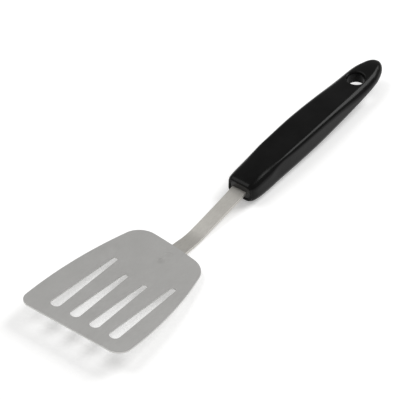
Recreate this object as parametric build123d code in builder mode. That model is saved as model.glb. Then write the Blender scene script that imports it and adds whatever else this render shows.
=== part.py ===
from build123d import *
import os
from math import radians, sin, cos, tan

os.makedirs("parts", exist_ok=True)

# Slotted grill turner: sheet blade, bar shank, moulded grip.
# Millimetres and degrees. +X points to the blade's working edge, +Z is up.
# The turner lies as it rests on a table: on the bend of the shank and on
# the underside of the grip, with the working edge a little raised.

# ---- resting attitude and origin (centre of the footprint, table level) ----
REST_TILT = 5.73          # blade plane against the table
ORIGIN_X = 53.799          # rear centre of the blade's top face
ORIGIN_Y = 2.519
ORIGIN_Z = 4.153

# ---- blade ----
BLADE_T = 1.0
BLADE_FRONT = 99.4        # working edge, ahead of the blade's rear centre
FRONT_LEFT = -40.9        # ends of the working edge, before rounding
FRONT_RIGHT = 36.0
LEFT_MID = (50.0, -40.0)
RIGHT_MID = (50.0, 34.0)
REAR_LEFT = (-2.6, -30.6)
REAR_RIGHT = (3.6, 23.1)
R_FRONT_LEFT = 7.5
R_FRONT_RIGHT = 9.0
REAR_MID = (-0.6, -3.75)   # the rear edge bows back a little
R_REAR_LEFT = 13.0
R_REAR_RIGHT = 16.0

# ---- drain slots and shank share one centre line ----
LINE_Y = -0.5
SLOT_FRONT = 90.0
SLOT_OUTER_Y = 22.05
SLOT_INNER_Y = 7.30
SLOT_OUTER_REAR = 30.8
SLOT_INNER_REAR = 39.3
SLOT_FRONT_HALF = 3.55
SLOT_REAR_HALF = 1.80

# ---- shank: one flat bar, tab + bend + tang ----
SHANK_T = 2.0
TAB_FRONT = 26.0
TAB_HALF = 5.5
WAIST_HALF = 4.75
MOUTH_HALF = 5.1
TANG_HALF = 4.1
TANG_STEP_X = -66.5
BEND_1 = (-14.7, -2.0)    # middle of the bar's thickness
BEND_2 = (-65.5, 10.29)
TANG_END = (-128.0, 18.25)
R_BEND_1 = 44.0
R_BEND_2 = 40.0

# ---- spot welds ----
WELD_R = 2.2
WELD_X = (16.4, 8.4)
WELD_IN_BLADE = 0.6
WELD_IN_TAB = 0.9
MARK_R = 2.6
MARK_DEPTH = 0.08

# ---- grip ----
GRIP_X = -60.0            # front face on the grip's axis
GRIP_Z = 9.5
GRIP_RISE = 7.26          # grip axis against the blade plane
# station, top width, bottom width, height, top corner, bottom corner, rise
SECTIONS = [
    (0.0, 16.2, 16.7, 11.2, 2.4, 4.0, 0.0),
    (1.6, 18.0, 19.8, 13.2, 2.9, 4.4, 0.0),
    (5.0, 18.9, 22.2, 14.4, 3.2, 5.0, 0.0),
    (10.0, 19.1, 23.1, 15.4, 3.4, 5.1, 0.0),
    (24.0, 20.0, 23.4, 16.3, 3.4, 5.3, 0.0),
    (40.0, 21.4, 23.8, 16.6, 3.2, 5.6, 0.0),
    (62.0, 22.2, 24.2, 16.4, 3.3, 5.5, 0.0),
    (78.0, 22.0, 24.0, 15.4, 3.7, 5.4, 0.0),
    (94.0, 21.6, 23.3, 13.6, 4.2, 5.1, 0.0),
    (109.0, 21.4, 22.5, 11.5, 4.4, 4.9, 0.15),
    (122.0, 20.6, 21.3, 9.8, 3.9, 4.4, 0.65),
    (131.0, 18.9, 19.5, 9.1, 3.6, 4.1, 1.05),
    (137.0, 16.0, 16.5, 8.3, 3.5, 4.0, 1.2),
    (141.4, 12.1, 12.6, 7.1, 3.0, 3.4, 1.25),
    (144.4, 7.6, 7.9, 5.2, 2.1, 2.4, 1.25),
    (146.0, 3.0, 3.4, 2.8, 1.0, 1.1, 1.25),
]
HOLE_AT = 121.4           # hanging hole, along the grip axis
HOLE_R = 5.8
HOLE_RIM = 0.6

# ---- plug in the mouth of the grip ----
PLUG_W = 14.4
PLUG_H = 8.8
PLUG_LEN = 8.0
PLUG_SET_BACK = 0.5
PLUG_TOP_R = 3.0
PLUG_BOTTOM_R = 3.6
FIT = 0.1

b = radians(REST_TILT)
g = radians(GRIP_RISE)

# blade frame: x to the working edge, y across, z out of the top face
tool = Plane(
    origin=(ORIGIN_X, ORIGIN_Y, ORIGIN_Z),
    x_dir=(cos(b), 0, sin(b)),
    z_dir=(-sin(b), 0, cos(b)),
)


def in_blade_frame(x, y, z):
    return tool.from_local_coords(Vector(x, y, z))


# the same frame moved onto the centre line of the slots and the shank
line = Plane(
    origin=in_blade_frame(0, LINE_Y, 0), x_dir=tool.x_dir, z_dir=tool.z_dir
)
side = Plane(origin=line.origin, x_dir=tool.x_dir, z_dir=(0, -1, 0))


# grip frame: origin on the front face, z along the grip to the butt,
# y out of the top face
grip_dir = in_blade_frame(-cos(g), 0, sin(g)) - in_blade_frame(0, 0, 0)
grip_up = in_blade_frame(sin(g), 0, cos(g)) - in_blade_frame(0, 0, 0)
grip = Plane(
    origin=in_blade_frame(GRIP_X, 0, GRIP_Z), x_dir=(0, -1, 0), z_dir=grip_dir
)
hole_plane = Plane(
    origin=in_blade_frame(
        GRIP_X - HOLE_AT * cos(g), 0, GRIP_Z + HOLE_AT * sin(g)
    ),
    x_dir=(0, 1, 0),
    z_dir=grip_up,
)

# ---------------------------------------------------------------- blade
with BuildPart() as blade:
    with BuildSketch(tool.offset(-BLADE_T)) as outline:
        with BuildLine():
            Line((BLADE_FRONT, FRONT_LEFT), (BLADE_FRONT, FRONT_RIGHT))
            ThreePointArc((BLADE_FRONT, FRONT_RIGHT), RIGHT_MID, REAR_RIGHT)
            ThreePointArc(REAR_RIGHT, REAR_MID, REAR_LEFT)
            ThreePointArc(REAR_LEFT, LEFT_MID, (BLADE_FRONT, FRONT_LEFT))
        make_face()
        corners = outline.vertices().sort_by(Axis.X)
        front_pair = corners[2:].sort_by(Axis.Y)
        rear_pair = corners[:2].sort_by(Axis.Y)
        fillet(front_pair[0], radius=R_FRONT_LEFT)
        fillet(
            outline.vertices().sort_by_distance((BLADE_FRONT, FRONT_RIGHT))[0],
            radius=R_FRONT_RIGHT,
        )
        fillet(
            outline.vertices().sort_by_distance(REAR_LEFT)[0], radius=R_REAR_LEFT
        )
        fillet(
            outline.vertices().sort_by_distance(REAR_RIGHT)[0],
            radius=R_REAR_RIGHT,
        )
    extrude(amount=BLADE_T)
    # four tapered drain slots, wide end to the front
    with BuildSketch(line.offset(1.0)) as slots:
        for slot_y, rear in (
            (-SLOT_OUTER_Y, SLOT_OUTER_REAR),
            (-SLOT_INNER_Y, SLOT_INNER_REAR),
            (SLOT_INNER_Y, SLOT_INNER_REAR),
            (SLOT_OUTER_Y, SLOT_OUTER_REAR),
        ):
            with BuildLine():
                Polyline(
                    (rear, slot_y - SLOT_REAR_HALF),
                    (SLOT_FRONT, slot_y - SLOT_FRONT_HALF),
                    (SLOT_FRONT, slot_y + SLOT_FRONT_HALF),
                    (rear, slot_y + SLOT_REAR_HALF),
                    close=True,
                )
            make_face()
        fillet(slots.vertices().group_by(Axis.X)[-1], radius=3.25)
        fillet(
            slots.vertices().filter_by_position(Axis.X, 0, 41), radius=1.65
        )
    extrude(amount=-4.0, mode=Mode.SUBTRACT)
    # seats of the weld nuggets, and the shallow electrode marks on top
    with BuildSketch(line.offset(-BLADE_T)) as nugget_seats:
        with Locations(*[(x, 0) for x in WELD_X]):
            Circle(WELD_R)
    extrude(amount=WELD_IN_BLADE, mode=Mode.SUBTRACT)
    with BuildSketch(line) as marks:
        with Locations(*[(x, 0) for x in WELD_X]):
            Circle(MARK_R)
    extrude(amount=-MARK_DEPTH, mode=Mode.SUBTRACT)
blade.part.label = "blade"
export_step(blade.part, "parts/blade.step")

# ---------------------------------------------------------------- shank
with BuildPart() as shank:
    with BuildSketch(side) as bar_profile:
        with BuildLine():
            FilletPolyline(
                (TAB_FRONT, -BLADE_T - SHANK_T / 2),
                BEND_1,
                BEND_2,
                TANG_END,
                radius=[R_BEND_1, R_BEND_2],
            )
        trace(line_width=SHANK_T)
    extrude(amount=8.0, both=True)
    # width of the bar seen from above: rounded tab, slight waist, tang with
    # three pairs of barbs
    with BuildSketch(line.offset(-12.0)) as bar_plan:
        with BuildLine():
            Line((0, -TAB_HALF), (TAB_FRONT - TAB_HALF, -TAB_HALF))
            ThreePointArc(
                (TAB_FRONT - TAB_HALF, -TAB_HALF),
                (TAB_FRONT, 0),
                (TAB_FRONT - TAB_HALF, TAB_HALF),
            )
            Line((TAB_FRONT - TAB_HALF, TAB_HALF), (0, TAB_HALF))
            ThreePointArc((0, TAB_HALF), (-30, WAIST_HALF), (-60, MOUTH_HALF))
            Polyline(
                (-60, MOUTH_HALF),
                (TANG_STEP_X, MOUTH_HALF),
                (TANG_STEP_X, TANG_HALF),
                (-84, TANG_HALF),
                (-87, TANG_HALF - 1.0),
                (-87, TANG_HALF),
                (-96, TANG_HALF),
                (-99, TANG_HALF - 1.0),
                (-99, TANG_HALF),
                (-108, TANG_HALF),
                (-111, TANG_HALF - 1.0),
                (-111, TANG_HALF),
                (-124, TANG_HALF),
                (-130, 2.4),
                (-130, -2.4),
                (-124, -TANG_HALF),
                (-111, -TANG_HALF),
                (-111, -TANG_HALF + 1.0),
                (-108, -TANG_HALF),
                (-99, -TANG_HALF),
                (-99, -TANG_HALF + 1.0),
                (-96, -TANG_HALF),
                (-87, -TANG_HALF),
                (-87, -TANG_HALF + 1.0),
                (-84, -TANG_HALF),
                (TANG_STEP_X, -TANG_HALF),
                (TANG_STEP_X, -MOUTH_HALF),
                (-60, -MOUTH_HALF),
            )
            ThreePointArc((-60, -MOUTH_HALF), (-30, -WAIST_HALF), (0, -TAB_HALF))
        make_face()
    extrude(amount=45.0, mode=Mode.INTERSECT)
    # seats of the weld nuggets in the tab, electrode marks underneath
    with BuildSketch(line.offset(-BLADE_T)) as tab_seats:
        with Locations(*[(x, 0) for x in WELD_X]):
            Circle(WELD_R)
    extrude(amount=-WELD_IN_TAB, mode=Mode.SUBTRACT)
    with BuildSketch(line.offset(-BLADE_T - SHANK_T)) as tab_marks:
        with Locations(*[(x, 0) for x in WELD_X]):
            Circle(MARK_R)
    extrude(amount=MARK_DEPTH, mode=Mode.SUBTRACT)
shank.part.label = "shank"
export_step(shank.part, "parts/shank.step")

# ---------------------------------------------------------------- spot welds
with BuildPart() as spot_welds:
    with BuildSketch(line.offset(-BLADE_T - WELD_IN_TAB)) as nuggets:
        with Locations(*[(x, 0) for x in WELD_X]):
            Circle(WELD_R)
    extrude(amount=WELD_IN_TAB + WELD_IN_BLADE)
spot_welds.part.label = "spot_welds"
export_step(spot_welds.part, "parts/spot_welds.step")

# ---------------------------------------------------------------- grip
def on_hole_rim(edge):
    """True for an edge that runs round the hole, not along it."""
    spots = [hole_plane.to_local_coords(edge @ t) for t in (0.0, 0.35, 0.7, 1.0)]
    round_it = all(abs((p.X**2 + p.Y**2) ** 0.5 - HOLE_R) < 0.02 for p in spots)
    return round_it and edge.geom_type != GeomType.LINE


with BuildPart() as handle:
    for at, top_w, bottom_w, high, top_r, bottom_r, rise in SECTIONS:
        with BuildSketch(grip.offset(at)) as section:
            with BuildLine():
                Polyline(
                    (-top_w / 2, rise + high / 2),
                    (top_w / 2, rise + high / 2),
                    (bottom_w / 2, rise - high / 2),
                    (-bottom_w / 2, rise - high / 2),
                    close=True,
                )
            make_face()
            ends = section.vertices().group_by(Axis.Y)
            fillet(ends[-1], radius=top_r)
            fillet(section.vertices().group_by(Axis.Y)[0], radius=bottom_r)
    loft()
    # seat of the plug
    with BuildSketch(grip) as mouth:
        Rectangle(PLUG_W + 2 * FIT, PLUG_H + 2 * FIT)
        fillet(mouth.vertices().group_by(Axis.Y)[-1], radius=PLUG_TOP_R + FIT)
        fillet(mouth.vertices().group_by(Axis.Y)[0], radius=PLUG_BOTTOM_R + FIT)
    extrude(amount=PLUG_SET_BACK + PLUG_LEN + FIT, mode=Mode.SUBTRACT)
    # socket of the tang
    with BuildSketch(side) as socket:
        with BuildLine():
            FilletPolyline(
                (TAB_FRONT, -BLADE_T - SHANK_T / 2),
                BEND_1,
                BEND_2,
                (TANG_END[0] - 2.0, TANG_END[1] + 2.0 * tan(g)),
                radius=[R_BEND_1, R_BEND_2],
            )
        trace(line_width=SHANK_T + 2 * FIT)
    extrude(amount=TANG_HALF + FIT, both=True, mode=Mode.SUBTRACT)
    # hanging hole with softened rims
    with BuildSketch(hole_plane.offset(-12.0)) as hole:
        Circle(HOLE_R)
    extrude(amount=24.0, mode=Mode.SUBTRACT)
    rims = handle.edges().filter_by(on_hole_rim)
    chamfer(rims, length=HOLE_RIM)
handle.part.label = "handle"
export_step(handle.part, "parts/handle.step")

# ---------------------------------------------------------------- plug
with BuildPart() as socket_plug:
    with BuildSketch(grip.offset(PLUG_SET_BACK)) as plug_face:
        Rectangle(PLUG_W, PLUG_H)
        fillet(plug_face.vertices().group_by(Axis.Y)[-1], radius=PLUG_TOP_R)
        fillet(plug_face.vertices().group_by(Axis.Y)[0], radius=PLUG_BOTTOM_R)
    extrude(amount=PLUG_LEN)
    with BuildSketch(side) as bar_slot:
        with BuildLine():
            FilletPolyline(
                (TAB_FRONT, -BLADE_T - SHANK_T / 2),
                BEND_1,
                BEND_2,
                TANG_END,
                radius=[R_BEND_1, R_BEND_2],
            )
        trace(line_width=SHANK_T + 2 * FIT)
    extrude(amount=MOUTH_HALF + FIT, both=True, mode=Mode.SUBTRACT)
socket_plug.part.label = "socket_plug"
export_step(socket_plug.part, "parts/socket_plug.step")
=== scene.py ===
from math import radians, sin, cos, tan, pi, sqrt, exp, atan2

import bpy
import bmesh
from mathutils import Matrix, Vector


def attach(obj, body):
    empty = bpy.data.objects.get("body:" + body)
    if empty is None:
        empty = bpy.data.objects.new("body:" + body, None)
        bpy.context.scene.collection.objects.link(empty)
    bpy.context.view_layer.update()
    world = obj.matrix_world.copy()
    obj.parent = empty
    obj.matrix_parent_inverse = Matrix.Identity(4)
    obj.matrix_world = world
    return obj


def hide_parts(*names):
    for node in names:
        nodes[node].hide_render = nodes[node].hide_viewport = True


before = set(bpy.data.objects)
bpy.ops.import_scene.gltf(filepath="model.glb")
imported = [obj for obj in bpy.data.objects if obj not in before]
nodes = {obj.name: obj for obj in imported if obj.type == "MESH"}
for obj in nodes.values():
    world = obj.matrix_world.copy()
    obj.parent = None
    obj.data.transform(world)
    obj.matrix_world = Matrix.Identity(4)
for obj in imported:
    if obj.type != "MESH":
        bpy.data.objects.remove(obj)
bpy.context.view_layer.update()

MM = 0.001

# ------------------------------------------------------------------ frames
# The blade's own frame: x to the working edge, y across, z out of the top
# face. It is tilted against the table, as the turner rests.
TILT = radians(5.73)
OX, OY, OZ = 53.799, 2.519, 4.153
RISE = radians(7.26)          # grip axis against the blade plane
GRIP_X, GRIP_Z = -60.0, 9.5


def row_dir(v):
    x, y, z = v
    return Vector((x * cos(TILT) - z * sin(TILT), y, x * sin(TILT) + z * cos(TILT)))


def row_pt(v):
    x, y, z = v
    d = row_dir(v)
    return Vector((OX + d.x, OY + d.y, OZ + d.z)) * MM


def grip_pt(across, up, w):
    """across is +y, up is out of the grip's top, w runs along the grip."""
    return row_pt((GRIP_X - w * cos(RISE) + up * sin(RISE), across,
                   GRIP_Z + w * sin(RISE) + up * cos(RISE)))


# ------------------------------------------------------------------ node tools
def new_mat(name):
    m = bpy.data.materials.new(name)
    m.use_nodes = True
    nt = m.node_tree
    nt.nodes.clear()
    out = nt.nodes.new("ShaderNodeOutputMaterial")
    bs = nt.nodes.new("ShaderNodeBsdfPrincipled")
    nt.links.new(bs.outputs["BSDF"], out.inputs["Surface"])
    return m, nt, bs


def tex_coords(nt, scale, rotate=(0, 0, 0)):
    tc = nt.nodes.new("ShaderNodeTexCoord")
    mp = nt.nodes.new("ShaderNodeMapping")
    mp.inputs["Scale"].default_value = scale
    mp.inputs["Rotation"].default_value = rotate
    nt.links.new(tc.outputs["Object"], mp.inputs["Vector"])
    return mp.outputs["Vector"]


def noise(nt, vec, scale, detail=3.0, rough=0.55):
    n = nt.nodes.new("ShaderNodeTexNoise")
    n.inputs["Scale"].default_value = scale
    n.inputs["Detail"].default_value = detail
    n.inputs["Roughness"].default_value = rough
    nt.links.new(vec, n.inputs["Vector"])
    return n.outputs["Fac"]


def ramp(nt, fac, lo, hi, a, b):
    r = nt.nodes.new("ShaderNodeMapRange")
    r.inputs["From Min"].default_value = lo
    r.inputs["From Max"].default_value = hi
    r.inputs["To Min"].default_value = a
    r.inputs["To Max"].default_value = b
    nt.links.new(fac, r.inputs["Value"])
    return r.outputs["Result"]


def math_node(nt, op, a, b):
    n = nt.nodes.new("ShaderNodeMath")
    n.operation = op
    for i, v in enumerate((a, b)):
        if isinstance(v, (int, float)):
            n.inputs[i].default_value = v
        else:
            nt.links.new(v, n.inputs[i])
    return n.outputs[0]


def colour_mix(nt, fac, a, b):
    n = nt.nodes.new("ShaderNodeMix")
    n.data_type = "RGBA"
    nt.links.new(fac, n.inputs["Factor"])
    n.inputs["A"].default_value = (*a, 1)
    n.inputs["B"].default_value = (*b, 1)
    return n.outputs["Result"]


def bump(nt, height, dist, strength):
    n = nt.nodes.new("ShaderNodeBump")
    n.inputs["Distance"].default_value = dist
    n.inputs["Strength"].default_value = strength
    nt.links.new(height, n.inputs["Height"])
    return n.outputs["Normal"]


# ------------------------------------------------------------------ materials
def steel(name, dark, light, rough, grain=0.025, grain_dist=0.000004, scuffs=0.015,
          heat=(), speck=0.0):
    """Satin sheet: a very fine grain along the tool, faint cloudy wear, a few
    lighter rub marks spread over the sheet, all procedural."""
    m, nt, bs = new_mat(name)
    along = tex_coords(nt, (60.0, 1400.0, 1400.0), (0, TILT, 0))
    fine = noise(nt, along, 1.6, 4.0, 0.6)
    cloud = noise(nt, tex_coords(nt, (1, 1, 1)), 55.0, 3.0, 0.5)
    rub = noise(nt, tex_coords(nt, (60.0, 420.0, 420.0), (0, TILT, 0.12)), 1.0, 2.0, 0.4)
    mixed = math_node(nt, "ADD", math_node(nt, "MULTIPLY", fine, 0.5),
                      math_node(nt, "MULTIPLY", cloud, 0.5))
    tone = ramp(nt, mixed, 0.30, 0.70, 0.0, 1.0)
    if speck:
        # short darker flecks of the rolled bar, a millimetre or two long
        fleck = noise(nt, tex_coords(nt, (420.0, 900.0, 900.0), (0, TILT, 0)), 1.0, 3.0, 0.6)
        tone = math_node(nt, "SUBTRACT", tone, ramp(nt, fleck, 0.50, 0.72, 0.0, speck))
    colour = colour_mix(nt, tone, dark, light)
    for at, depth in heat:
        # faint grey tint left by a spot weld
        tc = nt.nodes.new("ShaderNodeTexCoord")
        gap = nt.nodes.new("ShaderNodeVectorMath")
        gap.operation = "DISTANCE"
        gap.inputs[1].default_value = row_pt((at, -0.5, 0.0))
        nt.links.new(tc.outputs["Object"], gap.inputs[0])
        near = ramp(nt, gap.outputs["Value"], 0.0008, 0.0030, depth, 0.0)
        mx = nt.nodes.new("ShaderNodeMix")
        mx.data_type = "RGBA"
        nt.links.new(near, mx.inputs["Factor"])
        nt.links.new(colour, mx.inputs["A"])
        mx.inputs["B"].default_value = (0.22, 0.21, 0.20, 1)
        colour = mx.outputs["Result"]
    nt.links.new(colour, bs.inputs["Base Color"])
    r1 = ramp(nt, fine, 0.3, 0.7, rough - grain, rough + grain)
    r2 = ramp(nt, rub, 0.55, 0.75, 0.0, -scuffs)
    nt.links.new(math_node(nt, "ADD", r1, r2), bs.inputs["Roughness"])
    bs.inputs["Metallic"].default_value = 1.0
    nt.links.new(bump(nt, fine, grain_dist, 0.35), bs.inputs["Normal"])
    return m


def plastic(name, dark, light, rough, var, specular, peel):
    """Injection-moulded black: a very fine orange peel, faint handling haze."""
    m, nt, bs = new_mat(name)
    v = tex_coords(nt, (1, 1, 1))
    haze = noise(nt, v, 70.0, 4.0, 0.6)
    fine = noise(nt, v, 1500.0, 2.0, 0.5)
    wave = noise(nt, v, 260.0, 2.0, 0.5)
    tone = ramp(nt, haze, 0.35, 0.68, 0.0, 1.0)
    nt.links.new(colour_mix(nt, tone, dark, light), bs.inputs["Base Color"])
    nt.links.new(ramp(nt, haze, 0.3, 0.7, rough - var, rough + var), bs.inputs["Roughness"])
    h = math_node(nt, "ADD", math_node(nt, "MULTIPLY", fine, 0.35),
                  math_node(nt, "MULTIPLY", wave, 0.65))
    nt.links.new(bump(nt, h, peel, 0.5), bs.inputs["Normal"])
    bs.inputs["Specular IOR Level"].default_value = specular
    bs.inputs["IOR"].default_value = 1.5
    return m


BLADE = steel("blade_steel_satin", (0.560, 0.556, 0.544), (0.622, 0.618, 0.606), 0.46,
              heat=((16.4, 0.16), (8.4, 0.07)))
SHANK = steel("shank_steel_satin", (0.500, 0.485, 0.452), (0.630, 0.614, 0.578), 0.46, speck=0.3)
WELD = steel("weld_steel_dull", (0.40, 0.39, 0.38), (0.52, 0.51, 0.50), 0.5, scuffs=0.0)
GRIP = plastic("handle_gloss_black", (0.0030, 0.0030, 0.0030), (0.0052, 0.0052, 0.0052),
               0.22, 0.03, 0.11, 0.00003)
PLUG = plastic("plug_semi_matt_black", (0.015, 0.015, 0.0145), (0.024, 0.024, 0.023),
               0.42, 0.06, 0.35, 0.00006)


def paint(obj, mat):
    if not obj.material_slots:
        obj.data.materials.append(mat)
    for s in obj.material_slots:
        s.material = mat


def edge_round(obj, width, segments=2, angle=35):
    """Deburred edges: a narrow rounding that catches a thin line of light."""
    bv = obj.modifiers.new("deburr", "BEVEL")
    bv.width = width
    bv.segments = segments
    bv.limit_method = "ANGLE"
    bv.angle_limit = radians(angle)
    bv.harden_normals = True


paint(nodes["blade"], BLADE)
paint(nodes["shank"], SHANK)
paint(nodes["spot_welds"], WELD)
paint(nodes["socket_plug"], PLUG)

# ------------------------------------------------------------------ grip
SECTIONS = [
    # station, top width, bottom width, height, top corner, bottom corner, rise
    (0.0, 16.2, 16.7, 11.2, 2.4, 4.0, 0.0),
    (1.6, 18.0, 19.8, 13.2, 2.9, 4.4, 0.0),
    (5.0, 18.9, 22.2, 14.4, 3.2, 5.0, 0.0),
    (10.0, 19.1, 23.1, 15.4, 3.4, 5.1, 0.0),
    (24.0, 20.0, 23.4, 16.3, 3.4, 5.3, 0.0),
    (40.0, 21.4, 23.8, 16.6, 3.2, 5.6, 0.0),
    (62.0, 22.2, 24.2, 16.4, 3.3, 5.5, 0.0),
    (78.0, 22.0, 24.0, 15.4, 3.7, 5.4, 0.0),
    (94.0, 21.6, 23.3, 13.6, 4.2, 5.1, 0.0),
    (109.0, 21.4, 22.5, 11.5, 4.4, 4.9, 0.15),
    (122.0, 20.6, 21.3, 9.8, 3.9, 4.4, 0.65),
    (131.0, 18.9, 19.5, 9.1, 3.6, 4.1, 1.05),
    (137.0, 16.0, 16.5, 8.3, 3.5, 4.0, 1.2),
    (141.4, 12.1, 12.6, 7.1, 3.0, 3.4, 1.25),
    (144.4, 7.6, 7.9, 5.2, 2.1, 2.4, 1.25),
    (146.0, 3.0, 3.4, 2.8, 1.0, 1.1, 1.25),
]
HOLE_AT, HOLE_R = 121.4, 5.8


def pchip(xs, ys, x):
    """Monotone cubic through the sections: no bulges between them."""
    n = len(xs)
    h = [xs[i + 1] - xs[i] for i in range(n - 1)]
    d = [(ys[i + 1] - ys[i]) / h[i] for i in range(n - 1)]
    m = [0.0] * n
    for i in range(1, n - 1):
        if d[i - 1] * d[i] > 0:
            w1, w2 = 2 * h[i] + h[i - 1], h[i] + 2 * h[i - 1]
            m[i] = (w1 + w2) / (w1 / d[i - 1] + w2 / d[i])
    m[0], m[-1] = d[0], d[-1]
    i = max(0, min(n - 2, next((k for k in range(n - 1) if x <= xs[k + 1]), n - 2)))
    t = (x - xs[i]) / h[i]
    t2, t3 = t * t, t * t * t
    return ((2 * t3 - 3 * t2 + 1) * ys[i] + (t3 - 2 * t2 + t) * h[i] * m[i]
            + (-2 * t3 + 3 * t2) * ys[i + 1] + (t3 - t2) * h[i] * m[i + 1])


XS = [s[0] for s in SECTIONS]


def section(w):
    return tuple(pchip(XS, [s[k] for s in SECTIONS], w) for k in range(1, 6))


def rise(w):
    return pchip(XS, [s[6] for s in SECTIONS], w)


def crown(w):
    """How far the top is domed across, more towards the butt."""
    k = max(0.0, min(1.0, (w - 88.0) / 40.0))
    return 1.5 * k * k * (3 - 2 * k) * max(0.15, min(1.0, (146.5 - w) / 9.0))


def ring(top_w, bot_w, high, r_top, r_bot, lift=0.0, crown=0.0, n_arc=14, n_top=14, n_side=10, n_bot=14):
    """A rounded trapezoid as one loop of (across, up), the same count each
    time, starting at the middle of the top."""
    a, b, hh = top_w / 2, bot_w / 2, high / 2
    lean = atan2(b - a, high)               # side wall leans out going down
    # top corner: arc from straight up to the side's normal
    ct, cb = pi / 2 - (-lean), None
    # centre of the top-right arc: tangent to the top line and the side line
    def corner(px, py, r, top):
        # interior half-angle between the flat and the side
        inner = pi / 2 + lean if top else pi / 2 - lean
        d = r / tan(inner / 2)
        if top:
            return px - d, py - r
        return px - d, py + r
    tx, ty = corner(a, hh, r_top, True)
    bx, by = corner(b, -hh, r_bot, False)
    half = []
    for i in range(n_top // 2 + 1):
        half.append((tx * i / (n_top // 2), hh))
    end_t = pi / 2 - (pi / 2 - lean)        # angle of the side's normal
    for i in range(1, n_arc + 1):
        t = pi / 2 + (end_t - pi / 2) * i / n_arc
        half.append((tx + r_top * cos(t), ty + r_top * sin(t)))
    last = half[-1]
    first_b = (bx + r_bot * cos(end_t), by + r_bot * sin(end_t))
    for i in range(1, n_side):
        k = i / n_side
        half.append((last[0] + (first_b[0] - last[0]) * k, last[1] + (first_b[1] - last[1]) * k))
    for i in range(0, n_arc + 1):
        t = end_t + (-pi / 2 - end_t) * i / n_arc
        half.append((bx + r_bot * cos(t), by + r_bot * sin(t)))
    for i in range(1, n_bot // 2 + 1):
        half.append((bx * (1 - i / (n_bot // 2)), -hh))
    left = [(-x, y) for x, y in reversed(half[1:-1])]
    out = []
    for x, y in half + left:
        share = max(0.0, min(1.0, (y + hh) / high))       # 0 underneath, 1 on top
        out.append((x, y + lift - share * (0.03 + crown * (x / a) ** 2)))
    return out


def build_grip():
    bm = bmesh.new()
    rings = []

    def add(points):
        rings.append([bm.verts.new(p) for p in points])

    # outer skin from the butt forward
    stations = [146.0 - 0.0]
    w = 146.0
    while w > 0.9:
        step = 0.25 if w > 143 else 0.5 if w > 136 or w < 7 else 1.0
        w -= step
        if w > 0.85:
            stations.append(w)
    for w in stations:
        tw, bw, h, rt, rb = section(w)
        # rounder behind the mouth and towards the butt, crisper between
        soft = exp(-((w - 12.0) / 11.0) ** 4)
        crisp = exp(-((w - 33.0) / 7.0) ** 2)
        end = 1 / (1 + exp(-(w - 104.0) / 5.0))
        rt += 1.7 * soft - 0.8 * crisp + 0.45 * end
        tw += 1.2 * soft - 0.3 * crisp + 0.3 * end
        rt = min(rt, 0.48 * h)
        tw = min(tw, bw - 0.2)
        add([grip_pt(x, y, w) for x, y in ring(tw, bw, h, rt, rb, rise(w), crown(w))])
    # rounded lip at the front
    for k in range(0, 9):
        t = (k / 8) * pi / 2
        inset = 0.85 * (1 - cos(t))
        w = 0.85 * (1 - sin(t))
        tw, bw, h, rt, rb = section(0.85)
        add([grip_pt(x, y, w) for x, y in ring(tw - 2 * inset, bw - 2 * inset, h - 2 * inset,
                                               max(rt - inset, 1.0), max(rb - inset, 1.0))])
    # mouth, seat of the plug, then the tang's socket
    mouth = (14.6, 14.6, 9.0, 3.1, 3.7)
    for grow, w in ((0.5, 0.02), (0.24, 0.08), (0.06, 0.26), (0.0, 0.5), (0.0, 4.0), (0.0, 8.6)):
        add([grip_pt(x, y, w) for x, y in ring(mouth[0] + grow, mouth[1] + grow, mouth[2] + grow,
                                               mouth[3] + grow / 2, mouth[4] + grow / 2)])
    bx, bz = -68.6, 10.29 + 3.1 * tan(RISE)
    for x in (-69.4, -80.0, -95.0, -110.0, -129.5):
        z = 10.29 + (-65.5 - x) * (18.25 - 10.29) / (128.0 - 65.5)
        pts = []
        for a, b in ring(8.6, 8.6, 2.5, 0.3, 0.3):
            pts.append(row_pt((x, a - 0.5, z + b)))
        add(pts)
    for a, b in zip(rings, rings[1:]):
        n = len(a)
        for i in range(n):
            j = (i + 1) % n
            bm.faces.new((a[i], a[j], b[j], b[i]))
    bm.faces.new(list(reversed(rings[0])))
    bm.faces.new(rings[-1])
    bmesh.ops.recalc_face_normals(bm, faces=bm.faces)
    me = bpy.data.meshes.new("grip")
    bm.to_mesh(me)
    bm.free()
    ob = bpy.data.objects.new("grip", me)
    bpy.context.collection.objects.link(ob)
    return ob


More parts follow.
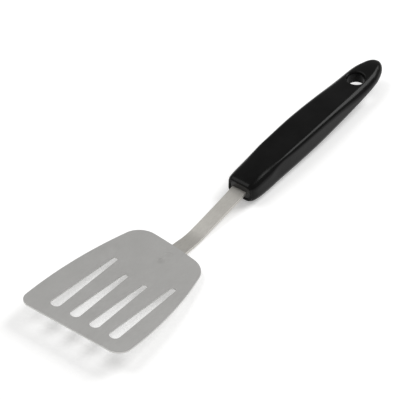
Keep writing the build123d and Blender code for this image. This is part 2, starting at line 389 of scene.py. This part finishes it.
def hole_cutter():
    """A cutter with flared ends, so that both rims of the hole are rounded."""
    bm = bmesh.new()
    seg = 96
    tw, bw, h, rt, rb = section(HOLE_AT)

    def skin(a, dw, top):
        """Height of the grip's skin at across=a, dw along from the hole."""
        tw, bw, h, rt, rb = section(HOLE_AT + dw)
        loop = ring(tw, bw, h, rt, rb, rise(HOLE_AT + dw), crown(HOLE_AT + dw))
        half = loop[:len(loop) // 2 + 1]
        pts = half if True else loop
        a = abs(a)
        ys = []
        for (x0, y0), (x1, y1) in zip(pts, pts[1:]):
            lo, hi = min(x0, x1), max(x0, x1)
            if lo - 1e-9 <= a <= hi + 1e-9 and hi - lo > 1e-6:
                ys.append(y0 + (y1 - y0) * (a - x0) / (x1 - x0))
        return max(ys) if top else min(ys)

    R = 1.35
    prof_top, prof_bot = [], []
    steps = 7
    loops = []
    for side in ("top", "bottom"):
        for k in range(steps + 1):
            t = k / steps * radians(78)
            r = HOLE_R + R * (1 - cos(t))
            drop = R * (1 - sin(t))
            loops.append((side, r, drop))
    # order: bottom outside -> bottom wall -> top wall -> top outside
    order = [("bottom", HOLE_R + R * (1 - cos(radians(78))) + 0.35, -3.0)]
    order += [l for l in reversed([l for l in loops if l[0] == "bottom"])]
    order += [l for l in loops if l[0] == "top"]
    order += [("top", HOLE_R + R * (1 - cos(radians(78))) + 0.35, -3.0)]
    rings = []
    for side, r, drop in order:
        vs = []
        for i in range(seg):
            th = 2 * pi * i / seg
            a, dw = r * cos(th), r * sin(th)
            s = skin(a, dw, side == "top")
            up = s - drop if side == "top" else s + drop
            vs.append(bm.verts.new(grip_pt(a, up, HOLE_AT + dw)))
        rings.append(vs)
    for p, q in zip(rings, rings[1:]):
        for i in range(seg):
            j = (i + 1) % seg
            bm.faces.new((p[i], p[j], q[j], q[i]))
    bm.faces.new(list(reversed(rings[0])))
    bm.faces.new(rings[-1])
    bmesh.ops.recalc_face_normals(bm, faces=bm.faces)
    me = bpy.data.meshes.new("cutter")
    bm.to_mesh(me)
    bm.free()
    ob = bpy.data.objects.new("cutter", me)
    bpy.context.collection.objects.link(ob)
    return ob


def apply_modifiers(ob):
    dg = bpy.context.evaluated_depsgraph_get()
    me = bpy.data.meshes.new_from_object(ob.evaluated_get(dg))
    ob.modifiers.clear()
    ob.data = me


grip = build_grip()
cutter = hole_cutter()
bo = grip.modifiers.new("hole", "BOOLEAN")
bo.operation = "DIFFERENCE"
bo.solver = "EXACT"
bo.object = cutter
bpy.context.view_layer.update()
apply_modifiers(grip)
bpy.data.objects.remove(cutter)
for p in grip.data.polygons:
    p.use_smooth = True
grip.data.set_sharp_from_angle(angle=radians(38))
paint(grip, GRIP)
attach(grip, "root")
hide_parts("handle")

edge_round(nodes["blade"], 0.00012, 2, 40)
edge_round(nodes["shank"], 0.00025, 2, 40)
edge_round(nodes["socket_plug"], 0.0005, 3, 40)

# ------------------------------------------------------------------ stage
bpy.ops.mesh.primitive_plane_add(size=6.0, location=(0, 0, 0))
floor = bpy.context.object
floor.name = "floor"
fm, fnt, fbs = new_mat("floor_white")
fbs.inputs["Base Color"].default_value = (0.90, 0.90, 0.90, 1)
fbs.inputs["Roughness"].default_value = 0.9
fbs.inputs["Specular IOR Level"].default_value = 0.0
fbs.inputs["Emission Color"].default_value = (1, 1, 1, 1)
fbs.inputs["Emission Strength"].default_value = 0.30
floor.data.materials.append(fm)

world = bpy.data.worlds.new("soft_room")
bpy.context.scene.world = world
world.use_nodes = True
wb = world.node_tree.nodes["Background"]
wb.inputs["Color"].default_value = (1.0, 0.995, 0.985, 1)
wb.inputs["Strength"].default_value = 0.42


def softbox(name, direction, dist, size_x, size_y, radiance):
    """A rectangular softbox at a direction from the object, stated by the
    radiance of its face."""
    d = row_dir(direction).normalized()
    li = bpy.data.lights.new(name, "AREA")
    li.shape = "RECTANGLE"
    li.size, li.size_y = size_x, size_y
    # an area light's radiance is power / (area * pi)
    li.energy = radiance * size_x * size_y * pi
    ob = bpy.data.objects.new(name, li)
    bpy.context.collection.objects.link(ob)
    ob.location = d * dist
    # size_x runs across the tool, size_y along it
    ax = (Vector((0, 1, 0)) - d * d.y).normalized()
    ay = d.cross(ax)
    ob.rotation_euler = Matrix((ax, ay, d)).transposed().to_euler()
    return ob


softbox("ridge_light", (-0.62, 0.26, 0.73), 1.6, 0.75, 0.85, 6.4)
softbox("key_light", (0.20, -0.52, 0.82), 1.6, 0.9, 0.9, 2.5)

# ------------------------------------------------------------------ camera
cam = bpy.data.cameras.new("cam")
cam.sensor_width = 36.0
cam.sensor_fit = "HORIZONTAL"
cam.lens = 270.0
cam.clip_start = 0.05
cam.clip_end = 50.0
camo = bpy.data.objects.new("cam", cam)
bpy.context.collection.objects.link(camo)
target = row_pt((-46.31, -18.94, 0.0))
back = row_dir((0.6439, 0.4603, 0.6108)).normalized()
right = row_dir((-0.6116, 0.7895, 0.0503))
right = (right - back * right.dot(back)).normalized()
up = back.cross(right).normalized()
target = target + (up - right) * (0.5 * 0.6123 * MM)
pos = target + back * 1.8369
camo.matrix_world = Matrix((
    (right.x, up.x, back.x, pos.x),
    (right.y, up.y, back.y, pos.y),
    (right.z, up.z, back.z, pos.z),
    (0, 0, 0, 1)))
bpy.context.scene.camera = camo
bpy.context.scene.view_settings.view_transform = "Standard"
